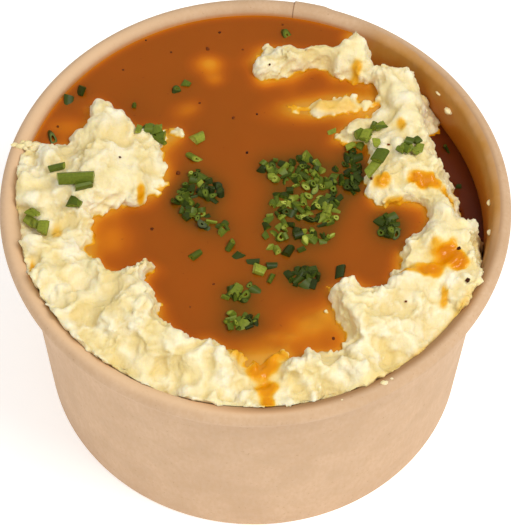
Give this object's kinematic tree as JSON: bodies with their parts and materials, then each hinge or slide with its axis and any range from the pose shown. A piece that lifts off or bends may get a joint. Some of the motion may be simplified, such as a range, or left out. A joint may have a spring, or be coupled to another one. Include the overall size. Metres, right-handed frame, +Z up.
{
  "type": "mashed potato side",
  "caption": "Round kraft paper tub filled with rough mashed potato, with a level pool of brown gravy and chopped chives on top.",
  "frame": {"origin": "middle of the tub's foot, on the surface it stands on", "axes": "+Z up along the tub's axis; -Y towards the viewer of the picture; +X to the viewer's right"},
  "size_m": [0.115, 0.115, 0.0705],
  "materials": {
    "kraft_paper": "matt, unbleached",
    "mashed_potato": "moist, rough",
    "gravy": "wet, glossy"
  },
  "bodies": {
    "root": {"bowl": "kraft_paper", "mash": "mashed_potato", "gravy": "gravy", "gravy_side": "gravy"}
  },
  "joints": []
}
